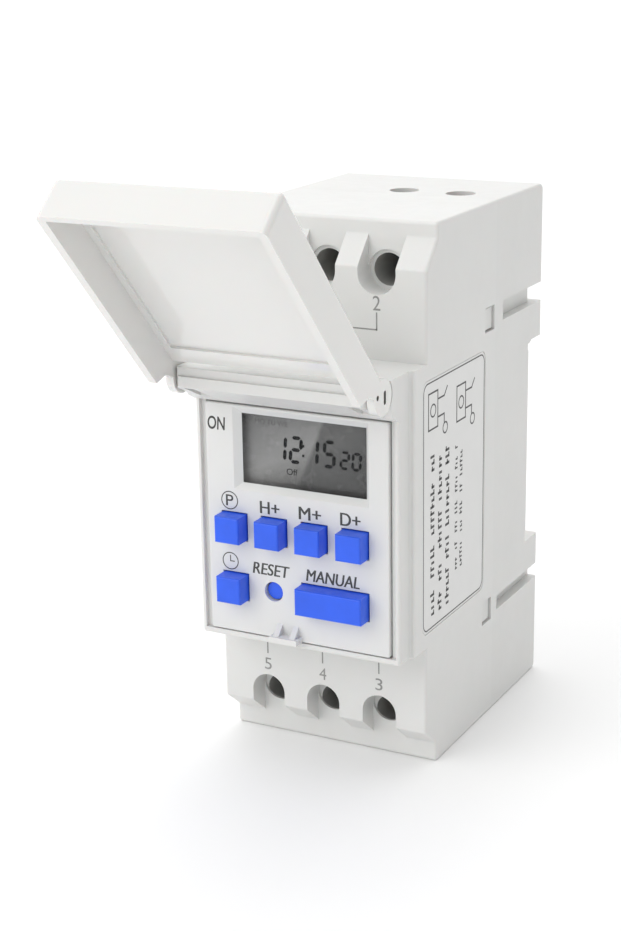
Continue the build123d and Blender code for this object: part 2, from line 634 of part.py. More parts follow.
with BuildPart() as lcd_holder:
    slab((WINDOW_X - 12.4, WINDOW_X + 12.4), (DISPLAY_BOARD_Y, -46.3), (WINDOW_Z - 6.8, WINDOW_Z + 6.8))
    slab((WINDOW_X - 11.3, WINDOW_X + 11.3), (-45.3, -46.4), (WINDOW_Z - 6.2, WINDOW_Z + 6.2), Mode.SUBTRACT)
    slab((WINDOW_X - 10.8, WINDOW_X + 10.8), (-43.3, -46.4), (WINDOW_Z - 5.8, WINDOW_Z + 5.8), Mode.SUBTRACT)
save(lcd_holder, "lcd_holder")

with BuildPart() as lcd_contact_strips:
    for side in (-1, 1):
        z = WINDOW_Z + side * 5.0
        slab((WINDOW_X - 10.5, WINDOW_X + 10.5), (DISPLAY_BOARD_Y, -45.4), (z - 0.7, z + 0.7))
save(lcd_contact_strips, "lcd_contact_strips")

board_back = DISPLAY_BOARD_Y + BOARD
with BuildPart() as microcontroller:
    slab((1.0, 11.0), (board_back + 0.1, board_back + 1.6), (-6.0, 4.0))
    for i in range(8):
        z = -4.5 + i
        slab((0.2, 11.8), (board_back, board_back + 0.5), (z - 0.2, z + 0.2))
save(microcontroller, "microcontroller")

with BuildPart() as clock_crystal:
    upright(-2.5, board_back + 1.1, 1.0, -6.0, 0.0)
    for side in (-1, 1):
        upright(-2.5 + side * 0.4, board_back + 0.6, 0.2, -8.5, -5.5)
save(clock_crystal, "clock_crystal")

with BuildPart() as backup_battery:
    rod(-9.0, 6.0, 5.7, (board_back + 0.3, board_back + 5.6))
    fillet(backup_battery.edges(), 0.5)
    for side in (-1, 1):
        slab((-9.0 + side * 4.0, -9.0 + side * 5.0), (board_back, board_back + 1.2), (5.4, 6.6))
save(backup_battery, "backup_battery")

# ---------------------------------------------------------------- power board assembly
power_front = POWER_BOARD_Y
with BuildPart() as power_board:
    slab(
        (-POWER_BOARD_HALF_X, POWER_BOARD_HALF_X),
        (power_front, power_front + BOARD),
        (-POWER_BOARD_HALF_Z, POWER_BOARD_HALF_Z),
    )
    for x in (-BOARD_SCREW_X, BOARD_SCREW_X):
        for z in (-BOARD_SCREW_Z, BOARD_SCREW_Z):
            rod(x, z, 1.0, (power_front, power_front + BOARD), Mode.SUBTRACT)
save(power_board, "power_board")

with BuildPart() as power_board_screws:
    for x in (-BOARD_SCREW_X, BOARD_SCREW_X):
        for z in (-BOARD_SCREW_Z, BOARD_SCREW_Z):
            rod(x, z, 1.5, (power_front - 1.1, power_front))
            rod(x, z, 0.8, (power_front, power_front + 6.0))
            cross = (power_front - 1.2, power_front - 0.6)
            slab((x - 1.0, x + 1.0), cross, (z - 0.2, z + 0.2), Mode.SUBTRACT)
            slab((x - 0.2, x + 0.2), cross, (z - 1.0, z + 1.0), Mode.SUBTRACT)
save(power_board_screws, "power_board_screws")

with BuildPart() as relay:
    slab((-14.6, -2.0), (power_front, power_front - 15.6), (-10.5, 17.5))
    fillet(relay.edges().filter_by(Axis.Y), 0.5)
save(relay, "relay")

with BuildPart() as film_capacitor:
    slab((1.0, 9.4), (power_front, power_front - 13.0), (0.0, 18.0))
    fillet(film_capacitor.edges().filter_by(Axis.Y), 0.6)
save(film_capacitor, "film_capacitor")

with BuildPart() as filter_capacitor:
    rod(2.5, -7.0, 4.0, (power_front, power_front - 12.0))
    groove_y = power_front - 1.6
    rod(2.5, -7.0, 4.1, (groove_y - 0.5, groove_y), Mode.SUBTRACT)
    rod(2.5, -7.0, 3.7, (groove_y - 0.6, groove_y + 0.1))
save(filter_capacitor, "filter_capacitor")

with BuildPart() as varistor:
    disc(power_front - 6.0, 9.0, 4.6, 10.6, 14.0)
    fillet(varistor.edges(), 0.8)
    for z in (6.5, 11.5):
        rod(12.3, z, 0.35, (power_front, power_front - 4.0))
save(varistor, "varistor")

with BuildPart() as fuse_resistor:
    upright(10.6, power_front - 2.6, 2.2, -14.0, -3.0)
    fillet(fuse_resistor.edges(), 0.5)
    for z in (-15.2, -1.8):
        rod(10.6, z, 0.35, (power_front, power_front - 2.9))
    upright(10.6, power_front - 2.6, 0.35, -15.2, -1.8)
save(fuse_resistor, "fuse_resistor")

with BuildPart() as rectifier_diodes:
    for i in range(4):
        x = -11.0 + 3.2 * i
        upright(x, power_front - 1.6, 1.35, -17.0, -12.4)
        for z_from, z_to in ((-18.4, -16.9), (-12.5, -11.0)):
            slab((x - 0.3, x + 0.3), (power_front - 1.3, power_front - 1.9), (z_from, z_to))
        for z in (-18.1, -11.3):
            slab((x - 0.3, x + 0.3), (power_front, power_front - 1.5), (z - 0.3, z + 0.3))
save(rectifier_diodes, "rectifier_diodes")

with BuildPart() as board_link_pins:
    for i in range(6):
        x = 2.0 + 2.0 * i
        slab((x - 0.3, x + 0.3), (board_back, power_front), (-18.1, -17.5))
save(board_link_pins, "board_link_pins")

# ---------------------------------------------------------------- terminals


def terminal_screw(number, x, z):
    """A cross-slotted screw whose head turns in the housing's collar."""
    with BuildPart() as screw:
        rod(x, z, HEAD_RADIUS, (HEAD_FRONT_Y, HEAD_BACK_Y))
        rod(x, z, SHANK_RADIUS, (HEAD_BACK_Y, SHANK_END_Y))
        drive = (HEAD_FRONT_Y, HEAD_FRONT_Y + 1.4)
        slab((x - HEAD_RADIUS, x + HEAD_RADIUS), drive, (z - 0.35, z + 0.35), Mode.SUBTRACT)
        slab((x - 0.3, x + 0.3), drive, (z - 1.3, z + 1.3), Mode.SUBTRACT)
        chamfer(screw.faces().sort_by(Axis.Y)[-1].edges(), 0.35)
    save(screw, "terminal_screw_" + str(number))


def terminal_cage(number, x, z):
    """A bent steel frame that the screw draws up against the contact strip."""
    with BuildPart() as cage:
        cage_y = (CAGE_FRONT_Y, CAGE_BACK_Y)
        slab((x - CAGE_HALF_X, x + CAGE_HALF_X), cage_y, (z - CAGE_HALF_Z, z + CAGE_HALF_Z))
        fillet(cage.edges().filter_by(Axis.Z), 0.6)
        slab(
            (x - CAGE_HALF_X + 1.0, x + CAGE_HALF_X - 1.0),
            (CAGE_FRONT_Y + 1.5, CAGE_BACK_Y - 1.2),
            (z - CAGE_HALF_Z, z + CAGE_HALF_Z),
            Mode.SUBTRACT,
        )
        rod(x, z, SHANK_RADIUS + 0.05, (CAGE_FRONT_Y, CAGE_FRONT_Y + 1.5), Mode.SUBTRACT)
    save(cage, "terminal_cage_" + str(number))


for number, (x, z) in TERMINALS.items():
    terminal_screw(number, x, z)
    terminal_cage(number, x, z)

with BuildPart() as terminal_strips:
    for x, z in TERMINALS.values():
        inner = 20.2 if z > 0 else -20.2
        outer = z + 3.2 if z > 0 else z - 3.2
        slab((x - 1.7, x + 1.7), (power_front - 0.8, power_front), sorted((inner, outer)))
save(terminal_strips, "terminal_strips")

# ---------------------------------------------------------------- side label
with BuildPart() as side_label:
    with BuildSketch(Plane.YZ.offset(HALF_WIDTH - 0.15)) as label_outline:
        with Locations((-30.75, 0)):
            RectangleRounded(23.8, 39.8, 1.5)
    extrude(label_outline.sketch, amount=0.1)
save(side_label, "side_label")
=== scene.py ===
import math
import random

import bmesh
import bpy
from mathutils import Matrix, Vector


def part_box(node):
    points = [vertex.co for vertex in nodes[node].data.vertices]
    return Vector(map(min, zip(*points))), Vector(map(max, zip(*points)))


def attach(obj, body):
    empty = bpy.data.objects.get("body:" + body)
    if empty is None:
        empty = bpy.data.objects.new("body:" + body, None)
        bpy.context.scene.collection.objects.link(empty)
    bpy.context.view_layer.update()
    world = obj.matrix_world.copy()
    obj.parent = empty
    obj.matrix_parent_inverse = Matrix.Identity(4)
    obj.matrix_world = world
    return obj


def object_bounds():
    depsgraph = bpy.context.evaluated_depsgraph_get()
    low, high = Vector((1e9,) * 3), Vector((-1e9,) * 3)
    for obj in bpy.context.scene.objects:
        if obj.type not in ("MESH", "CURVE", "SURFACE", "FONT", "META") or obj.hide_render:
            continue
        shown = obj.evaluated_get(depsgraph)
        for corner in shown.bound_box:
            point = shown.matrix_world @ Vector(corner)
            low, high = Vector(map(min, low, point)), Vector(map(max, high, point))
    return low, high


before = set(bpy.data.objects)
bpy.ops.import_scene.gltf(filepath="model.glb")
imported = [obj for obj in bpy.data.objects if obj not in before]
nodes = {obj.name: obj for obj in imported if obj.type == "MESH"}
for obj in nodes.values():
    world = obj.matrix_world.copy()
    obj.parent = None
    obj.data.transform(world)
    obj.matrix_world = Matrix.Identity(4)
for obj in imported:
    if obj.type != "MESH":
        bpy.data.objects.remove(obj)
cad_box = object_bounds()
MM = 0.001

# places on the object, in millimetres
SHOULDER_Y = -41.4
PITCH = 9.9
HINGE_Y = -54.5
HINGE_Z = 20.6
BEVEL_DEPTH = 0.8
WELL_FLOOR_Y = -36.8
WELL_HALF_X = 13.6
WELL_HALF_Z = 40.2
KNUCKLE_SHADE_REACH = 2.6
KNUCKLE_SHADE_FROM_X = 16.6
KNUCKLE_SHADE_TO_X = 17.15

# print, in millimetres
PRINT_THICKNESS = 0.012
LAYER_STEP = 0.003
LAYER_SHIFT = 0.11
MARK_STROKE = 0.16
WIRING_STROKE = 0.22
BORDER_STROKE = 0.2
DIAGRAM_STROKE = 0.26


# ---------------------------------------------------------------- materials
class Surface:
    """A procedural material: colour variation, roughness variation and a fine grain."""

    def __init__(self, name, base, vary=0.04, vary_scale=90.0, rough=(0.4, 0.5), rough_scale=500.0,
                 grain=0.012, grain_scale=2600.0, **sockets):
        self.material = bpy.data.materials.new(name)
        self.material.use_nodes = True
        tree = self.material.node_tree
        self.nodes = tree.nodes
        self.links = tree.links
        self.shader = self.nodes["Principled BSDF"]
        self.coords = self.nodes.new("ShaderNodeTexCoord").outputs["Object"]
        low = [c * (1 - vary) for c in base]
        high = [min(1.0, c * (1 + vary)) for c in base]
        cloud = self.noise(vary_scale, 3.0)
        self.colour = self.ramp(cloud, [(0.3, low), (0.7, high)])
        self.links.new(self.colour, self.shader.inputs["Base Color"])
        spread = self.noise(rough_scale, 2.0)
        self.links.new(self.span(spread, rough[0], rough[1]), self.shader.inputs["Roughness"])
        self.height = self.noise(grain_scale, 3.0)
        self.bump = self.nodes.new("ShaderNodeBump")
        self.bump.inputs["Strength"].default_value = 1.0
        self.bump.inputs["Distance"].default_value = grain * MM
        self.links.new(self.height, self.bump.inputs["Height"])
        self.links.new(self.bump.outputs["Normal"], self.shader.inputs["Normal"])
        for socket, value in sockets.items():
            self.shader.inputs[socket.replace("_", " ")].default_value = value

    def noise(self, scale, detail, stretch=None):
        source = self.coords
        if stretch:
            mapping = self.nodes.new("ShaderNodeMapping")
            mapping.inputs["Scale"].default_value = stretch
            self.links.new(source, mapping.inputs["Vector"])
            source = mapping.outputs["Vector"]
        texture = self.nodes.new("ShaderNodeTexNoise")
        texture.inputs["Scale"].default_value = scale
        texture.inputs["Detail"].default_value = detail
        self.links.new(source, texture.inputs["Vector"])
        return texture.outputs["Fac"]

    def ramp(self, factor, stops):
        node = self.nodes.new("ShaderNodeValToRGB")
        elements = node.color_ramp.elements
        while len(elements) < len(stops):
            elements.new(0.5)
        for element, (place, colour) in zip(elements, stops):
            element.position = place
            element.color = (*colour, 1.0)
        self.links.new(factor, node.inputs["Fac"])
        return node.outputs["Color"]

    def span(self, factor, low, high):
        node = self.nodes.new("ShaderNodeMapRange")
        node.inputs["From Min"].default_value = 0.3
        node.inputs["From Max"].default_value = 0.7
        node.inputs["To Min"].default_value = low
        node.inputs["To Max"].default_value = high
        self.links.new(factor, node.inputs["Value"])
        return node.outputs["Result"]

    def axis(self, which):
        node = self.nodes.new("ShaderNodeSeparateXYZ")
        self.links.new(self.coords, node.inputs["Vector"])
        return node.outputs[which]

    def math(self, operation, first, second):
        node = self.nodes.new("ShaderNodeMath")
        node.operation = operation
        for index, value in enumerate((first, second)):
            if isinstance(value, (int, float)):
                node.inputs[index].default_value = value
            else:
                self.links.new(value, node.inputs[index])
        return node.outputs["Value"]

    def mix(self, factor, first, second):
        node = self.nodes.new("ShaderNodeMix")
        node.data_type = "RGBA"
        sockets = [s for s in node.inputs if s.enabled]
        self.links.new(factor, sockets[0])
        for socket, value in ((sockets[1], first), (sockets[2], second)):
            if isinstance(value, tuple):
                socket.default_value = (*value, 1.0)
            else:
                self.links.new(value, socket)
        return [s for s in node.outputs if s.enabled][0]

    def brushed(self, stretch, scale, depth):
        """Fine lines along one direction, as on plated or drawn metal."""
        lines = self.noise(scale, 2.0, stretch)
        self.links.new(lines, self.bump.inputs["Height"])
        self.bump.inputs["Distance"].default_value = depth * MM
        return self


housing = Surface("housing_white", (0.70, 0.70, 0.685), vary=0.012, rough=(0.36, 0.46), grain=0.010,
                  Specular_IOR_Level=0.45, Subsurface_Weight=0.06, Subsurface_Scale=0.002)
base = Surface("base_white", (0.69, 0.69, 0.675), vary=0.014, rough=(0.38, 0.48), grain=0.012,
               Specular_IOR_Level=0.45, Subsurface_Weight=0.06, Subsurface_Scale=0.002)
panel = Surface("panel_white", (0.71, 0.71, 0.70), vary=0.01, rough=(0.34, 0.42), grain=0.007,
                Specular_IOR_Level=0.45, Subsurface_Weight=0.05, Subsurface_Scale=0.002)
cover = Surface("cover_white", (0.74, 0.74, 0.72), vary=0.008, vary_scale=40, rough=(0.10, 0.17),
                rough_scale=120, grain=0.002, grain_scale=500, Specular_IOR_Level=0.6,
                Coat_Weight=0.25, Coat_Roughness=0.06, Subsurface_Weight=0.08, Subsurface_Scale=0.002)
blue = Surface("button_blue", (0.026, 0.115, 0.80), vary=0.05, vary_scale=300, rough=(0.32, 0.44),
               grain=0.008, grain_scale=1900, Specular_IOR_Level=0.4, Subsurface_Weight=0.05,
               Subsurface_Scale=0.001)
clip = Surface("clip_white", (0.74, 0.74, 0.72), vary=0.015, rough=(0.40, 0.52), grain=0.012,
               Specular_IOR_Level=0.4)
black = Surface("black_plastic", (0.024, 0.024, 0.027), vary=0.15, rough=(0.42, 0.55), grain=0.008)
rubber = Surface("zebra_grey", (0.10, 0.10, 0.11), vary=0.12, rough=(0.7, 0.85), grain=0.012)
board = Surface("board_green", (0.015, 0.15, 0.045), vary=0.25, vary_scale=420, rough=(0.25, 0.4),
                grain=0.006)
steel = Surface("steel_zinc", (0.60, 0.60, 0.58), vary=0.06, vary_scale=350, rough=(0.28, 0.42), Metallic=1.0)
steel.brushed((1.0, 0.05, 1.0), 5200.0, 0.006)
brass = Surface("brass_strip", (0.68, 0.48, 0.20), vary=0.08, vary_scale=300, rough=(0.25, 0.38),
                Metallic=1.0)
brass.brushed((1.0, 1.0, 0.05), 4200.0, 0.006)
relay_blue = Surface("relay_blue", (0.02, 0.07, 0.30), vary=0.06, rough=(0.35, 0.45), grain=0.008)
yellow = Surface("capacitor_yellow", (0.78, 0.52, 0.05), vary=0.06, rough=(0.35, 0.5), grain=0.008)
sleeve = Surface("capacitor_sleeve", (0.02, 0.025, 0.06), vary=0.1, rough=(0.2, 0.3), grain=0.003)
epoxy = Surface("varistor_blue", (0.02, 0.13, 0.48), vary=0.1, rough=(0.15, 0.3), grain=0.02, grain_scale=900)
lacquer = Surface("resistor_body", (0.35, 0.52, 0.45), vary=0.08, rough=(0.2, 0.35), grain=0.01,
                  grain_scale=900)
battery = Surface("battery_steel", (0.62, 0.62, 0.61), vary=0.05, rough=(0.22, 0.32), Metallic=1.0)
battery.brushed((0.05, 1.0, 1.0), 4200.0, 0.004)

paper = Surface("label_paper", (0.72, 0.72, 0.71), vary=0.012, vary_scale=200, rough=(0.30, 0.40),
                grain=0.004, grain_scale=1500)
ink = Surface("legend_ink", (0.055, 0.055, 0.05), vary=0.12, vary_scale=900, rough=(0.45, 0.6), grain=0.004)
number_ink = Surface("number_ink", (0.27, 0.27, 0.26), vary=0.12, vary_scale=900, rough=(0.5, 0.6),
                     grain=0.004)
label_ink = Surface("label_ink", (0.06, 0.06, 0.06), vary=0.15, vary_scale=900, rough=(0.5, 0.6), grain=0.004)
segment = Surface("lcd_segment", (0.004, 0.004, 0.005), vary=0.2, vary_scale=900, rough=(0.35, 0.45),
                  grain=0.001, Specular_IOR_Level=0.1)
ghost = Surface("lcd_ghost", (0.10, 0.10, 0.10), vary=0.1, vary_scale=900, rough=(0.3, 0.4), grain=0.001)

# the display's glass: its grey carries a painted reflection, lightest in the middle, dark at the lower right
# and beyond a slanting line
lcd = Surface("lcd_grey", (0.20, 0.20, 0.20), vary=0.03, vary_scale=900, rough=(0.22, 0.30), grain=0.001,
              Specular_IOR_Level=0.4)
low_glass, high_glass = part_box("lcd_glass")
across = lcd.math("SUBTRACT", lcd.axis("X"), low_glass.x)
across = lcd.math("DIVIDE", across, high_glass.x - low_glass.x)
upward = lcd.math("SUBTRACT", lcd.axis("Z"), low_glass.z)
upward = lcd.math("DIVIDE", upward, high_glass.z - low_glass.z)
slope = lcd.math("MULTIPLY", across, -0.55)
slope = lcd.math("ADD", slope, lcd.math("MULTIPLY", upward, 0.62))
slope = lcd.math("ADD", slope, 0.42)
painted_reflection = lcd.ramp(slope, [(0.05, (0.03, 0.03, 0.03)), (0.50, (0.33, 0.33, 0.325)), (0.95, (0.20, 0.20, 0.20))])
# past a slanting line the glass gets a darker painted reflection
edge = lcd.math("SUBTRACT", across, lcd.math("MULTIPLY", upward, 0.224))
painted_dark_side = lcd.math("DIVIDE", lcd.math("SUBTRACT", edge, 0.40), 0.04)
painted_dark_side = lcd.math("MINIMUM", lcd.math("MAXIMUM", painted_dark_side, 0.0), 0.8)
lcd.links.new(lcd.mix(painted_dark_side, painted_reflection, (0.095, 0.095, 0.095)), lcd.shader.inputs["Base Color"])

# inside the screwdriver wells little light comes back, so the plastic reads darker there
depth = housing.math("GREATER_THAN", housing.axis("Y"), WELL_FLOOR_Y * MM)
beside = housing.math("LESS_THAN", housing.math("ABSOLUTE", housing.axis("X"), 0.0), WELL_HALF_X * MM)
above = housing.math("LESS_THAN", housing.math("ABSOLUTE", housing.axis("Z"), 0.0), WELL_HALF_Z * MM)
well = housing.math("MULTIPLY", housing.math("MULTIPLY", depth, beside), above)
housing.links.new(housing.mix(well, housing.colour, (0.40, 0.40, 0.385)), housing.shader.inputs["Base Color"])

# the recessed slot and dot on the cover's knuckles get painted shade too: a dark colour stands in for the
# shadow in these recesses
knuckle_y = cover.math("SUBTRACT", cover.axis("Y"), HINGE_Y * MM)
knuckle_z = cover.math("SUBTRACT", cover.axis("Z"), HINGE_Z * MM)
from_hinge = cover.math("ADD", cover.math("MULTIPLY", knuckle_y, knuckle_y), cover.math("MULTIPLY", knuckle_z, knuckle_z))
near_hinge = cover.math("LESS_THAN", from_hinge, (KNUCKLE_SHADE_REACH * MM) ** 2)
side_x = cover.math("ABSOLUTE", cover.axis("X"), 0.0)
knuckle_painted_shade = cover.math("MULTIPLY", cover.math("GREATER_THAN", side_x, KNUCKLE_SHADE_FROM_X * MM),
                  cover.math("LESS_THAN", side_x, KNUCKLE_SHADE_TO_X * MM))
knuckle_painted_shade = cover.math("MULTIPLY", knuckle_painted_shade, near_hinge)
cover.links.new(cover.mix(knuckle_painted_shade, cover.colour, (0.22, 0.22, 0.21)), cover.shader.inputs["Base Color"])

# the window over it: clear, a little grey
window = Surface("window_clear", (0.12, 0.125, 0.125), vary=0.01, rough=(0.03, 0.06), grain=0.0005,
                 Alpha=0.07, IOR=1.49, Specular_IOR_Level=0.2)

CARRIED = {
    housing: ["front_housing"],
    base: ["rear_base"],
    panel: ["front_panel"],
    cover: ["flip_cover"],
    window: ["display_window"],
    lcd: ["lcd_glass"],
    clip: ["din_slider"],
    black: ["lcd_holder", "microcontroller", "rectifier_diodes", "tact_switches"],
    rubber: ["lcd_contact_strips"],
    board: ["display_board", "power_board"],
    steel: ["display_board_screws", "clock_crystal", "power_board_screws", "slider_spring"],
    brass: ["board_link_pins", "terminal_strips"],
    relay_blue: ["relay"],
    yellow: ["film_capacitor"],
    sleeve: ["filter_capacitor"],
    epoxy: ["varistor"],
    lacquer: ["fuse_resistor"],
    battery: ["backup_battery"],
    paper: ["side_label"],
}
for name in nodes:
    if name.endswith("_button"):
        CARRIED.setdefault(blue, []).append(name)
    elif name.endswith("_switch_plunger"):
        CARRIED[black].append(name)
    elif name.startswith("terminal_screw") or name.startswith("terminal_cage"):
        CARRIED[steel].append(name)
for surface, names in CARRIED.items():
    for name in names:
        for place in nodes[name].material_slots:
            place.material = surface.material


# ---------------------------------------------------------------- printed and moulded detail
def piece(name, mesh, surface, body="timer"):
    """Link a mesh as a piece of the object that moves with one body."""
    mesh.materials.clear()
    mesh.materials.append(surface.material)
    obj = bpy.data.objects.new(name, mesh)
    bpy.context.scene.collection.objects.link(obj)
    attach(obj, body)
    return obj


def on_front(y):
    """Places (right, up, out) on a face that looks forward at depth y, in millimetres."""
    return lambda u, v, w: Vector((u, y - w, v)) * MM


def on_right(x):
    """Places (back, up, out) on the right-hand side at x."""
    return lambda u, v, w: Vector((x + w, u, v)) * MM


def raised(name, outlines, place, surface, thickness=PRINT_THICKNESS):
    """Thin raised shapes from flat outlines, as print stands on a surface."""
    bm = bmesh.new()
    for outline in outlines:
        lower = [bm.verts.new(place(u, v, 0.0)) for u, v in outline]
        upper = [bm.verts.new(place(u, v, thickness)) for u, v in outline]
        bm.faces.new(upper)
        bm.faces.new(list(reversed(lower)))
        count = len(outline)
        for i in range(count):
            j = (i + 1) % count
            bm.faces.new((lower[i], lower[j], upper[j], upper[i]))
    bmesh.ops.recalc_face_normals(bm, faces=bm.faces)
    mesh = bpy.data.meshes.new(name)
    bm.to_mesh(mesh)
    bm.free()
    return piece(name, mesh, surface)


def lettering(name, words, left, right, low, high, place, surface, slant=0.0, weight=0.0,
              thickness=PRINT_THICKNESS):
    """Generic lettering that fills a given box."""
    curve = bpy.data.curves.new(name + "_outline", "FONT")
    curve.body = words
    curve.shear = slant
    curve.offset = weight
    curve.resolution_u = 6
    holder = bpy.data.objects.new(name + "_outline", curve)
    bpy.context.scene.collection.objects.link(holder)
    bpy.context.view_layer.update()
    flat = bpy.data.meshes.new_from_object(holder.evaluated_get(bpy.context.evaluated_depsgraph_get()))
    bpy.data.objects.remove(holder)
    bpy.data.curves.remove(curve)
    bm = bmesh.new()
    bm.from_mesh(flat)
    bpy.data.meshes.remove(flat)
    bmesh.ops.remove_doubles(bm, verts=bm.verts, dist=1e-5)
    us = [v.co.x for v in bm.verts]
    vs = [v.co.y for v in bm.verts]
    for v in bm.verts:
        u = left + (v.co.x - min(us)) / (max(us) - min(us)) * (right - left)
        w = low + (v.co.y - min(vs)) / (max(vs) - min(vs)) * (high - low)
        v.co = (u, w, 0.0)
    grown = bmesh.ops.extrude_face_region(bm, geom=bm.faces[:])
    top = set(g for g in grown["geom"] if isinstance(g, bmesh.types.BMVert))
    for v in bm.verts:
        v.co = place(v.co.x, v.co.y, thickness if v in top else 0.0)
    bmesh.ops.recalc_face_normals(bm, faces=bm.faces)
    mesh = bpy.data.meshes.new(name)
    bm.to_mesh(mesh)
    bm.free()
    return piece(name, mesh, surface)


def bar(u0, v0, u1, v1, width):
    """A straight stroke from one point to another."""
    along = Vector((u1 - u0, v1 - v0)).normalized() * width / 2
    side = Vector((-along.y, along.x))
    points = [Vector((u0, v0)) - along + side, Vector((u0, v0)) - along - side]
    points += [Vector((u1, v1)) + along - side, Vector((u1, v1)) + along + side]
    return [(p.x, p.y) for p in points]


def ring(u, v, radius, width, count=48):
    """A circular stroke, as quads."""
    quads = []
    for i in range(count):
        a = 2 * math.pi * i / count
        b = 2 * math.pi * (i + 1) / count
        inner, outer = radius - width / 2, radius + width / 2
        quads.append([
            (u + inner * math.cos(a), v + inner * math.sin(a)),
            (u + outer * math.cos(a), v + outer * math.sin(a)),
            (u + outer * math.cos(b), v + outer * math.sin(b)),
            (u + inner * math.cos(b), v + inner * math.sin(b)),
        ])
    return quads


panel_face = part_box("display_window")[0].y / MM - BEVEL_DEPTH
FRONT = on_front(panel_face)
SHOULDER = on_front(SHOULDER_Y)

lettering("on_legend", "ON", -15.1, -12.0, 11.1, 13.2, FRONT, ink, 0.08, 0.016)

# two printed layers, the second a little to the right, make these strokes bolder
for layer in range(2):
    shift = LAYER_SHIFT * layer
    thickness = PRINT_THICKNESS + LAYER_STEP * layer
    for key, words, left, right, low, high, slant in (
        ("hour", "H+", -6.3, -3.0, -1.3, 0.65, 0.0),
        ("minute", "M+", 0.4, 4.1, -1.35, 0.65, 0.0),
        ("day", "D+", 7.4, 10.7, -1.35, 0.65, 0.0),
        ("reset", "RESET", -7.85, -1.45, -11.25, -9.35, 0.16),
        ("manual", "MANUAL", 1.45, 10.45, -11.1, -9.2, 0.16),
    ):
        name = key + "_legend_" + str(layer + 1)
        lettering(name, words, left + shift, right + shift, low, high, FRONT, ink, slant, 0.0,
                  thickness)

# a circled letter over the program button and a clock over the clock button
raised("program_mark_ring", ring(-11.6, 0.05, 1.4, MARK_STROKE), FRONT, ink)
lettering("program_mark", "P", -12.25, -10.95, -0.85, 0.95, FRONT, ink, 0.0, 0.004)
hands = ring(-11.75, -9.85, 1.35, MARK_STROKE)
hands.append(bar(-11.75, -9.85, -11.75, -8.95, MARK_STROKE))
hands.append(bar(-11.75, -9.85, -11.1, -9.85, MARK_STROKE))
raised("clock_mark", hands, FRONT, ink)

# terminal numbers and the short wiring lines printed on the shoulders; a 1 is only a narrow bar
for number, x, z in (
    (2, PITCH, 31.2), (1, 0.0, 30.8), (3, PITCH, -29.6), (4, 0.0, -29.6), (5, -PITCH, -29.6),
):
    low, high = (z - 1.2, z + 1.0) if z > 0 else (z - 1.1, z + 0.9)
    half = 0.14 if number == 1 else 0.62
    lettering("terminal_number_" + str(number), str(number), x - half, x + half, low, high, SHOULDER,
              number_ink)
lines = []
for x0, z0, x1, z1 in (
    (PITCH, 29.6, PITCH, 27.1), (PITCH, 27.1, 5.6, 27.1), (5.6, 27.1, 4.6, 28.5),
    (0.0, 29.2, 0.0, 27.1), (0.0, 27.1, 3.4, 27.1),
    (-PITCH, -22.9, -PITCH, -27.8), (0.0, -22.9, 0.0, -27.8), (PITCH, -22.9, PITCH, -27.8),
):
    lines.append(bar(x0, z0, x1, z1, WIRING_STROKE))
raised("wiring_lines", lines, SHOULDER, number_ink)

# ---------------------------------------------------------------- display
LCD_FACE = on_front(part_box("lcd_glass")[0].y / MM)
SEGMENTS = {"0": "abcdef", "1": "bc", "2": "abged", "5": "afgcd"}


def digit(value, left, low, width, height, stroke, slant=0.07):
    """The lit segments of one figure, with pointed ends and small gaps."""
    mid = height / 2
    gap = stroke * 0.18
    h = stroke / 2
    runs = {
        "a": ((0, height), (width, height)), "g": ((0, mid), (width, mid)), "d": ((0, 0), (width, 0)),
        "f": ((0, mid), (0, height)), "e": ((0, 0), (0, mid)),
        "b": ((width, mid), (width, height)), "c": ((width, 0), (width, mid)),
    }
    shapes = []
    for name in SEGMENTS[value]:
        (x0, y0), (x1, y1) = runs[name]
        if y0 == y1:
            x0, x1 = x0 + gap, x1 - gap
            points = [(x0, y0), (x0 + h, y0 + h), (x1 - h, y0 + h)]
            points += [(x1, y0), (x1 - h, y0 - h), (x0 + h, y0 - h)]
        else:
            y0, y1 = y0 + gap, y1 - gap
            points = [(x0, y0), (x0 - h, y0 + h), (x0 - h, y1 - h)]
            points += [(x0, y1), (x0 + h, y1 - h), (x0 + h, y0 + h)]
        shapes.append([(left + x + slant * y, low + y) for x, y in points])
    return shapes


lit = []
FIGURES_LOW = 6.9
for value, left, width in (("1", -4.48, 1.55), ("2", -1.95, 1.7), ("1", 1.0, 1.55), ("5", 3.75, 1.65)):
    lit += digit(value, left, FIGURES_LOW, width, 3.8, 0.58)
for value, left in (("2", 6.6), ("0", 8.55)):
    lit += digit(value, left, FIGURES_LOW, 1.25, 2.5, 0.46)
for z in (8.05, 9.55):
    lit.append([(0.10, z - 0.2), (0.48, z - 0.2), (0.51, z + 0.2), (0.13, z + 0.2)])
raised("lcd_figures", lit, LCD_FACE, segment, 0.01)
lettering("lcd_off", "Off", -2.6, -0.7, 4.75, 5.75, LCD_FACE, segment, 0.0, 0.0, 0.01)
lettering("lcd_days", "MO TU WE", -7.9, -2.3, 12.25, 13.05, LCD_FACE, ghost, 0.0, 0.0, 0.01)
bulb = ring(8.3, 11.0, 0.42, 0.1, 24) + [bar(8.3, 10.45, 8.3, 10.2, 0.3)]
raised("lcd_lamp_mark", bulb, LCD_FACE, ghost, 0.01)

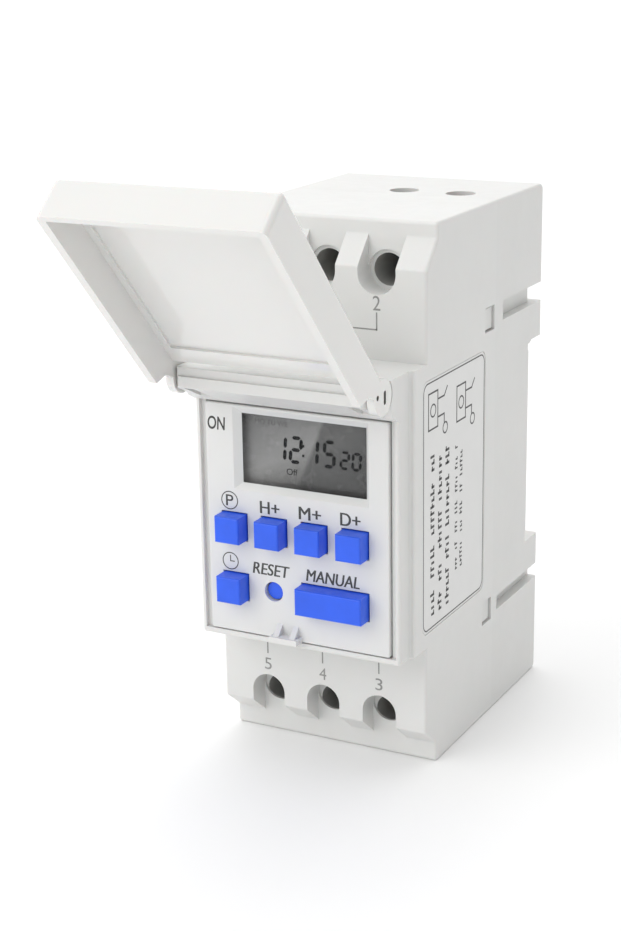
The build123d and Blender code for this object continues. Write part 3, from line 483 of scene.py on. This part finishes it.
# ---------------------------------------------------------------- side label print
LABEL = on_right(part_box("side_label")[1].x / MM)
random.seed(7)
frame_lines = []
front_y, rear_y, half, corner = -42.35, -19.15, 19.5, 1.4
inner_bend = corner - BORDER_STROKE / 2
outer_bend = corner + BORDER_STROKE / 2
frame_lines += [bar(front_y, -half + corner, front_y, half - corner, BORDER_STROKE)]
frame_lines += [bar(rear_y, -half + corner, rear_y, half - corner, BORDER_STROKE)]
frame_lines += [bar(front_y + corner, half, rear_y - corner, half, BORDER_STROKE)]
frame_lines += [bar(front_y + corner, -half, rear_y - corner, -half, BORDER_STROKE)]
for cy, cz, start in (
    (rear_y - corner, half - corner, 0), (front_y + corner, half - corner, 90),
    (front_y + corner, -half + corner, 180), (rear_y - corner, -half + corner, 270),
):
    for i in range(6):
        a = math.radians(start + 15 * i)
        b = math.radians(start + 15 * (i + 1))
        points = []
        for angle, radius in ((a, inner_bend), (a, outer_bend), (b, outer_bend), (b, inner_bend)):
            points.append((cy + radius * math.cos(angle), cz + radius * math.sin(angle)))
        frame_lines.append(points)
raised("label_border", frame_lines, LABEL, label_ink)


def word_column(y, z_from, z_to, size, longest):
    """One line of unreadable print running up the label."""
    marks = []
    z = z_from
    while z < z_to - size:
        run = min(random.uniform(0.35, 1.0) * longest, z_to - z)
        count = max(1, int(run / (size * 0.62)))
        for i in range(count):
            low = z + i * size * 0.62
            tall = size * random.choice((0.62, 0.62, 0.86))
            marks.append([(y, low), (y - tall, low), (y - tall, low + size * 0.24), (y, low + size * 0.24)])
            if random.random() < 0.7:
                shift = size * random.choice((0.0, 0.34, 0.6))
                marks.append([
                    (y - shift, low), (y - shift - size * 0.2, low),
                    (y - shift - size * 0.2, low + size * 0.46), (y - shift, low + size * 0.46),
                ])
        z += run + size * 0.7
    return marks


print_marks = []
for y in (-38.4, -35.6, -32.8):
    print_marks += word_column(y, -17.6, 9.0, 1.7, 9.0)
for y in (-29.6, -27.7):
    print_marks += word_column(y, -13.0, 8.0, 1.15, 5.0)
raised("label_print", print_marks, LABEL, label_ink)

# two small wiring diagrams: a box with a round mark, two leads, a lamp and an open contact
diagram = []
for y, z in ((-40.6, 12.2), (-30.0, 11.0)):
    for y0, z0, y1, z1 in (
        (0.0, 0.0, 0.0, 5.6), (3.4, 0.0, 3.4, 5.6), (0.0, 0.0, 3.4, 0.0), (0.0, 5.6, 3.4, 5.6),
        (3.4, 1.4, 5.8, 1.4), (3.4, 4.2, 5.8, 4.2), (5.8, 1.4, 5.8, 0.1), (5.8, 4.2, 6.9, 5.4),
    ):
        diagram.append(bar(y + y0, z + z0, y + y1, z + z1, DIAGRAM_STROKE))
    diagram += ring(y + 1.7, z + 2.8, 0.95, 0.24, 24)
    diagram += ring(y + 6.2, z - 0.9, 0.85, 0.24, 24)
raised("label_diagram", diagram, LABEL, label_ink)

# ---------------------------------------------------------------- floor, light and camera
low, high = cad_box
floor_surface = Surface("floor_pale", (0.93, 0.93, 0.93), vary=0.006, vary_scale=6, rough=(0.55, 0.65),
                        rough_scale=12, grain=0.02, grain_scale=400)
bm = bmesh.new()
reach = 6.0
floor_z = min(low[2], high[2])
corners = [bm.verts.new((x * reach, y * reach, floor_z)) for x, y in ((-1, -1), (1, -1), (1, 1), (-1, 1))]
bm.faces.new(corners)
bmesh.ops.subdivide_edges(bm, edges=bm.edges[:], cuts=6, use_grid_fill=True)
floor_mesh = bpy.data.meshes.new("floor")
bm.to_mesh(floor_mesh)
bm.free()
floor_mesh.materials.append(floor_surface.material)
floor = bpy.data.objects.new("floor", floor_mesh)
bpy.context.scene.collection.objects.link(floor)

world = bpy.data.worlds.new("studio")
world.use_nodes = True
world.node_tree.nodes["Background"].inputs["Color"].default_value = (1.0, 1.0, 1.0, 1.0)

# the surround is a little dimmer on the right, and brightest along the horizon
sky = world.node_tree
direction = sky.nodes.new("ShaderNodeSeparateXYZ")
sky.links.new(sky.nodes.new("ShaderNodeTexCoord").outputs["Generated"], direction.inputs["Vector"])
sideways = sky.nodes.new("ShaderNodeMapRange")
horizon = sky.nodes.new("ShaderNodeMapRange")
for node, source, values in (
    (sideways, "X", (-1.0, 1.0, 1.06, 0.60)),
    (horizon, "Z", (0.08, 0.16, 0.14, 0.0)),
):
    for socket, value in zip(("From Min", "From Max", "To Min", "To Max"), values):
        node.inputs[socket].default_value = value
    sky.links.new(direction.outputs[source], node.inputs["Value"])
total = sky.nodes.new("ShaderNodeMath")
sky.links.new(sideways.outputs["Result"], total.inputs[0])
sky.links.new(horizon.outputs["Result"], total.inputs[1])
sky.links.new(total.outputs["Value"], sky.nodes["Background"].inputs["Strength"])
bpy.context.scene.world = world


def softbox(name, position, target, size, power):
    light = bpy.data.lights.new(name, "AREA")
    light.shape = "RECTANGLE"
    light.size, light.size_y = size
    light.energy = power
    holder = bpy.data.objects.new(name, light)
    bpy.context.scene.collection.objects.link(holder)
    holder.location = position
    aim = Vector(target) - Vector(position)
    holder.rotation_euler = aim.to_track_quat("-Z", "Y").to_euler()


softbox("key", (-0.45, -0.75, 0.60), (0, -0.03, 0), (0.7, 0.7), 3.1)
softbox("top", (0.05, 0.10, 0.90), (0, -0.02, 0), (0.8, 0.8), 2.0)

softbox("backdrop", (-1.4, 2.6, 1.6), (-1.4, 2.6, 0), (3.2, 3.2), 22.0)

AZIMUTH, ELEVATION, ROLL = (math.radians(a) for a in (27.88, 16.69, -0.98))
back = Vector((math.sin(AZIMUTH) * math.cos(ELEVATION), -math.cos(AZIMUTH) * math.cos(ELEVATION),
               math.sin(ELEVATION)))
right = (-back).cross(Vector((0, 0, 1))).normalized()
up = back.cross(right)
right_rolled = right * math.cos(ROLL) + up * math.sin(ROLL)
up_rolled = up * math.cos(ROLL) - right * math.sin(ROLL)
camera_data = bpy.data.cameras.new("camera")
camera_data.lens = 71.6
camera_data.sensor_width = 36.0
camera_data.clip_start = 0.01
camera = bpy.data.objects.new("camera", camera_data)
bpy.context.scene.collection.objects.link(camera)
turn = Matrix((right_rolled, up_rolled, back)).transposed()
camera.matrix_world = Matrix.Translation((0.1263, -0.2831, 0.0867)) @ turn.to_4x4()
bpy.context.scene.camera = camera
bpy.context.scene.view_settings.view_transform = "Standard"
